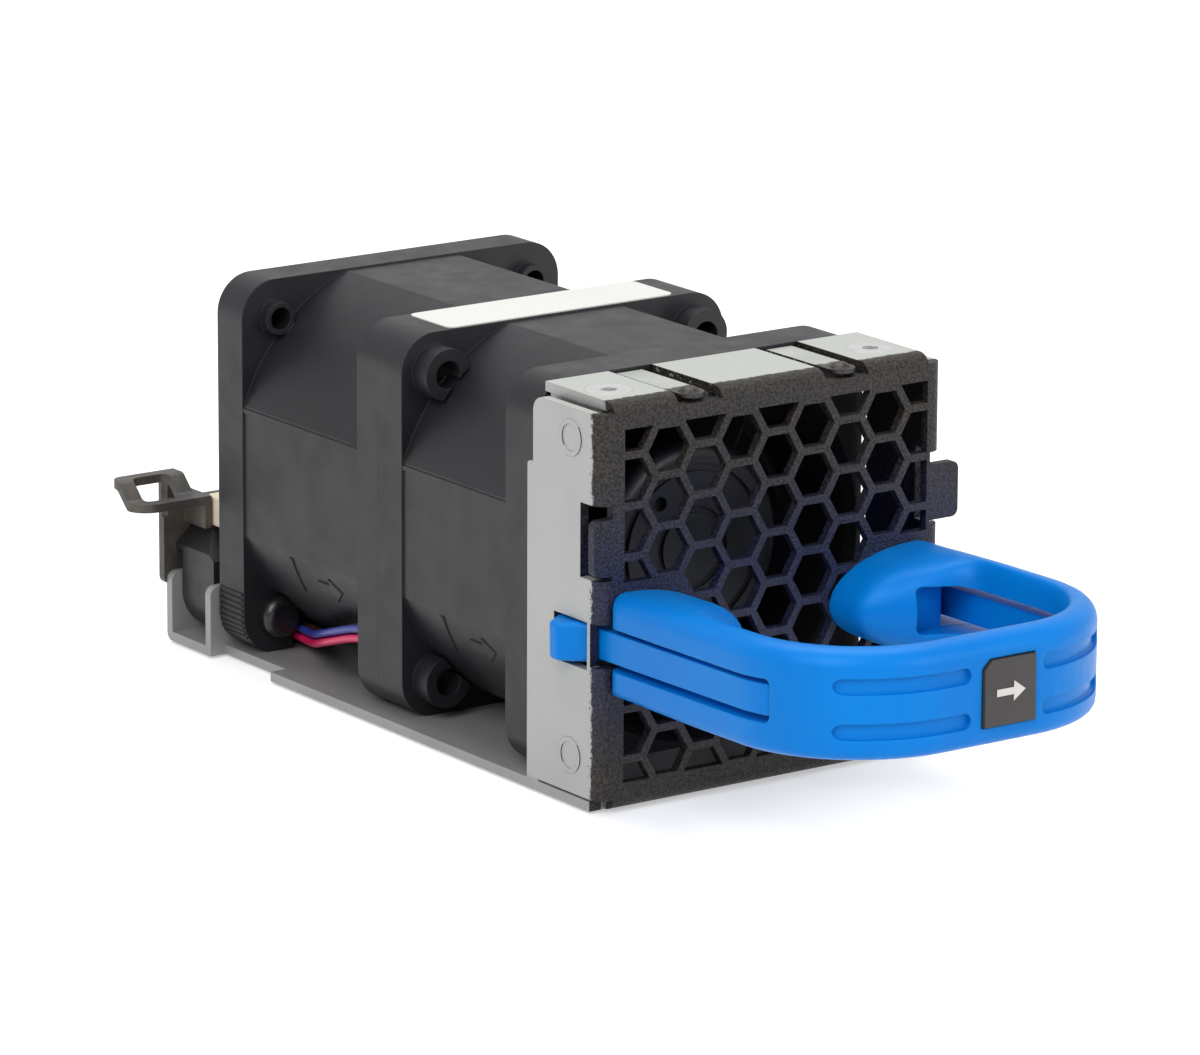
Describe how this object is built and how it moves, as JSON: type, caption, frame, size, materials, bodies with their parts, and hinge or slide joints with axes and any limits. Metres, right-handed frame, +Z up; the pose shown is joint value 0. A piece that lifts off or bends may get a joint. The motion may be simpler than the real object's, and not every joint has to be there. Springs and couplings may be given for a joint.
{
  "type": "server fan module",
  "caption": "Hot-swap server fan module: in-line axial fans on a folded metal tray with a perforated faceplate, a pull handle with spring latches and a rear plug.",
  "frame": {"origin": "centre line of the tray underside, below the plane where the two fans meet", "axes": "+Z up, +Y into the bay towards the connector, +X to the right when looking at the faceplate"},
  "size_m": [0.0499, 0.1198, 0.0413],
  "materials": {
    "tray_sheet": "black textured powder coat on the face, bare zinc plate on flanges and floor",
    "zinc_steel": "bright zinc plated countersunk screw",
    "spring_steel": "satin spring steel",
    "fan_plastic": "moulded glass-filled plastic",
    "rotor_plastic": "moulded plastic",
    "magnet_ferrite": "matt ferrite",
    "ground_steel": "ground",
    "core_steel": "stamped laminations",
    "copper_wire": "enamelled copper",
    "circuit_board": "solder mask",
    "label_paper": "matt white film",
    "handle_blue": "satin moulded plastic",
    "badge_grey": "fine texture",
    "connector_black": "moulded plastic",
    "contact_gold": "plated",
    "guide_sheet": "dark coat, cut edges bare",
    "plug_cream": "moulded plastic",
    "rivet_black": "moulded plastic",
    "wire_red": "wire insulation",
    "wire_blue": "wire insulation",
    "wire_black": "wire insulation",
    "wire_brown": "wire insulation"
  },
  "bodies": {
    "module": {"connector_contacts": "contact_gold", "connector_housing": "connector_black", "faceplate_tray": "tray_sheet", "fan_label": "label_paper", "fan_plug": "plug_cream", "front_bearings": "ground_steel", "front_board": "circuit_board", "front_coils": "copper_wire", "front_fan_frame": "fan_plastic", "front_stator": "core_steel", "handle": "handle_blue", "handle_badge": "badge_grey", "handle_screws": "ground_steel", "push_rivets": "rivet_black", "rear_bearings": "ground_steel", "rear_board": "circuit_board", "rear_coils": "copper_wire", "rear_fan_frame": "fan_plastic", "rear_guide": "guide_sheet", "rear_stator": "core_steel", "spring_strap": "spring_steel", "top_screws": "zinc_steel", "wire_black": "wire_black", "wire_blue": "wire_blue", "wire_brown": "wire_brown", "wire_red": "wire_red"},
    "front_rotor": {"front_rotor": "rotor_plastic", "front_magnet": "magnet_ferrite", "front_shaft": "ground_steel"},
    "rear_rotor": {"rear_rotor": "rotor_plastic", "rear_magnet": "magnet_ferrite", "rear_shaft": "ground_steel"},
    "left_latch": {"left_latch": "handle_blue"},
    "right_latch": {"right_latch": "handle_blue"},
    "left_ground_spring": {"left_ground_spring": "spring_steel"},
    "right_ground_spring": {"right_ground_spring": "spring_steel"}
  },
  "joints": [
    {"name": "front_rotor_spin", "type": "hinge", "parent": "module", "child": "front_rotor", "pos_m": [0, -0.014, 0.021], "axis": [0, 1, 0], "continuous": true},
    {"name": "rear_rotor_spin", "type": "hinge", "parent": "module", "child": "rear_rotor", "pos_m": [0, 0.014, 0.021], "axis": [0, -1, 0], "continuous": true},
    {"name": "left_latch_flex", "type": "hinge", "parent": "module", "child": "left_latch", "pos_m": [-0.01838, -0.0643, 0.01723], "axis": [0, -0.0157, -0.9999], "range_deg": [0, 3.5], "stiffness_Nm_per_rad": 1},
    {"name": "right_latch_flex", "type": "hinge", "parent": "module", "child": "right_latch", "pos_m": [0.01838, -0.0643, 0.01723], "axis": [0, 0.0157, 0.9999], "range_deg": [0, 3.5], "stiffness_Nm_per_rad": 1},
    {"name": "left_spring_flex", "type": "hinge", "parent": "module", "child": "left_ground_spring", "pos_m": [-0.0092, -0.0303, 0.04], "axis": [1, 0, 0], "range_deg": [0, 2], "stiffness_Nm_per_rad": 0.25},
    {"name": "right_spring_flex", "type": "hinge", "parent": "module", "child": "right_ground_spring", "pos_m": [0.0092, -0.0303, 0.04], "axis": [1, 0, 0], "range_deg": [0, 2], "stiffness_Nm_per_rad": 0.25}
  ]
}
